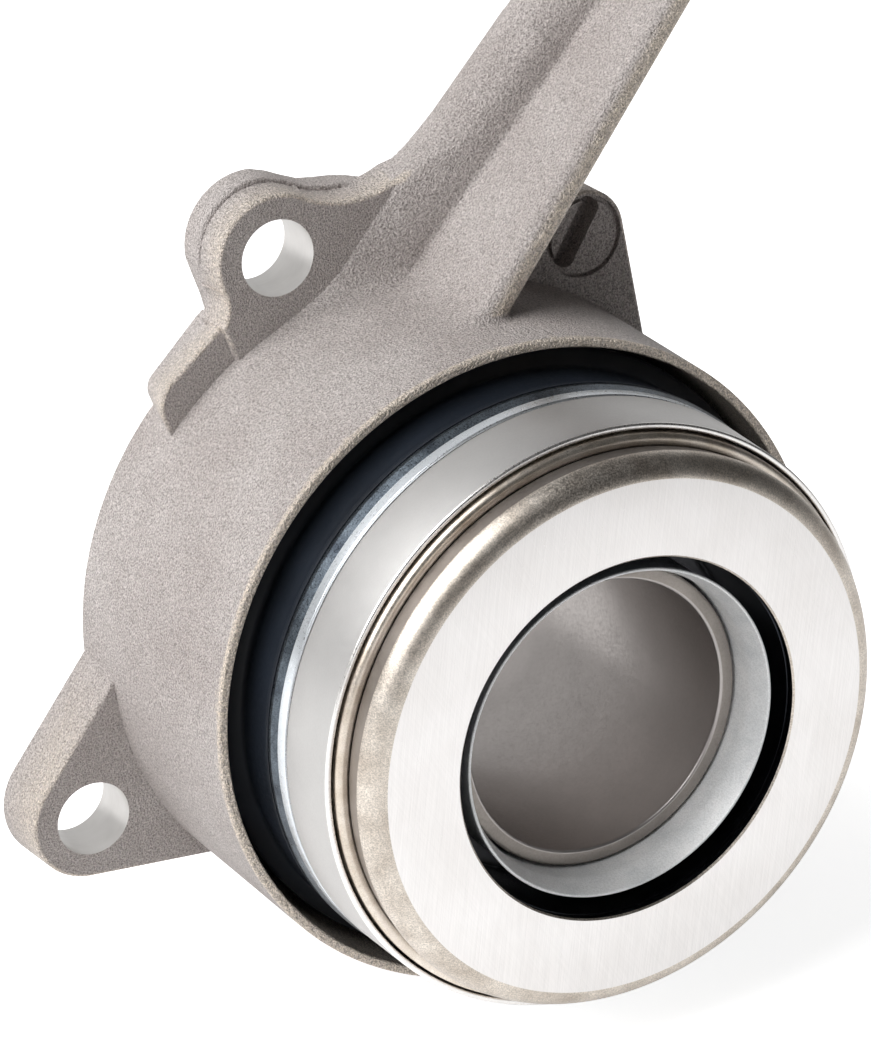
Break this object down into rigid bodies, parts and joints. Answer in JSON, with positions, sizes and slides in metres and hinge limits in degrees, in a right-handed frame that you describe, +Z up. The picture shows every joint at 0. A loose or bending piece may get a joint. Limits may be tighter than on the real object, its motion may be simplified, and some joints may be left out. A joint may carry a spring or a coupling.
{
  "type": "concentric slave cylinder",
  "caption": "Hydraulic clutch slave cylinder with a release bearing round its guide tube, a cast flanged housing and a long supply arm.",
  "frame": {"origin": "centre of the housing's mounting face, on the axis of the input shaft bore", "axes": "-Y along the bore axis towards the clutch, +Z up, +X to the right seen from the clutch side"},
  "size_m": [0.1027, 0.0556, 0.1413],
  "materials": {
    "housing": "bead-blasted pressure casting, satin, faintly grained",
    "guide_tube": "drawn steel, satin",
    "guide_tube_seal": "smooth black rubber",
    "mounting_seal": "smooth black rubber",
    "annular_piston": "moulded, satin",
    "piston_guide_ring": "smooth",
    "piston_seal": "smooth black rubber",
    "bearing_carrier": "bright zinc plate, slightly blue",
    "bearing_shell": "pressed sheet, satin",
    "bearing_outer_ring": "ground bearing steel with a straw tint",
    "contact_ring": "brushed flat face with a straw-tinted turned edge",
    "bearing_cage": "moulded plastic",
    "bearing_balls": "polished",
    "bearing_front_seal": "smooth black rubber",
    "bearing_rear_seal": "smooth black rubber",
    "centring_spring": "spring steel, oiled",
    "centring_spring_clip": "spring steel",
    "spring_seat": "stamped sheet",
    "preload_spring": "dark coated spring wire",
    "dust_boot": "black moulded rubber, satin",
    "bleed_screw": "bright zinc plate",
    "bleed_cap": "black rubber"
  },
  "bodies": {
    "housing": {"housing": "housing", "guide_tube": "guide_tube", "guide_tube_seal": "guide_tube_seal", "mounting_seal": "mounting_seal", "spring_seat": "spring_seat", "preload_spring": "preload_spring", "dust_boot": "dust_boot"},
    "piston": {"annular_piston": "annular_piston", "piston_guide_ring": "piston_guide_ring", "piston_seal": "piston_seal", "bearing_carrier": "bearing_carrier", "bearing_shell": "bearing_shell", "bearing_outer_ring": "bearing_outer_ring", "bearing_front_seal": "bearing_front_seal", "bearing_rear_seal": "bearing_rear_seal", "centring_spring": "centring_spring", "centring_spring_clip": "centring_spring_clip"},
    "contact_ring": {"contact_ring": "contact_ring"},
    "ball_set": {"bearing_cage": "bearing_cage", "bearing_balls": "bearing_balls"},
    "bleed_valve": {"bleed_screw": "bleed_screw", "bleed_cap": "bleed_cap"}
  },
  "joints": [
    {"name": "piston_slide", "type": "slide", "parent": "housing", "child": "piston", "axis": [0, 1, 0], "range_m": [0, 0.011], "stiffness_N_per_m": 3000, "springref_m": -0.02, "deforming": ["preload_spring", "dust_boot"]},
    {"name": "bearing_spin", "type": "hinge", "parent": "piston", "child": "contact_ring", "pos_m": [0, -0.0456, 0], "axis": [0, -1, 0], "continuous": true},
    {"name": "cage_spin", "type": "hinge", "parent": "piston", "child": "ball_set", "pos_m": [0, -0.0456, 0], "axis": [0, -1, 0], "continuous": true},
    {"name": "bleed_screw_turn", "type": "hinge", "parent": "housing", "child": "bleed_valve", "pos_m": [0.02238, -0.0066, 0.08739], "axis": [-0.7771, 0, 0.6293], "range_deg": [0, 180]}
  ],
  "couplings": [
    {"joint": "cage_spin", "follows": "bearing_spin", "ratio": 0.45}
  ]
}
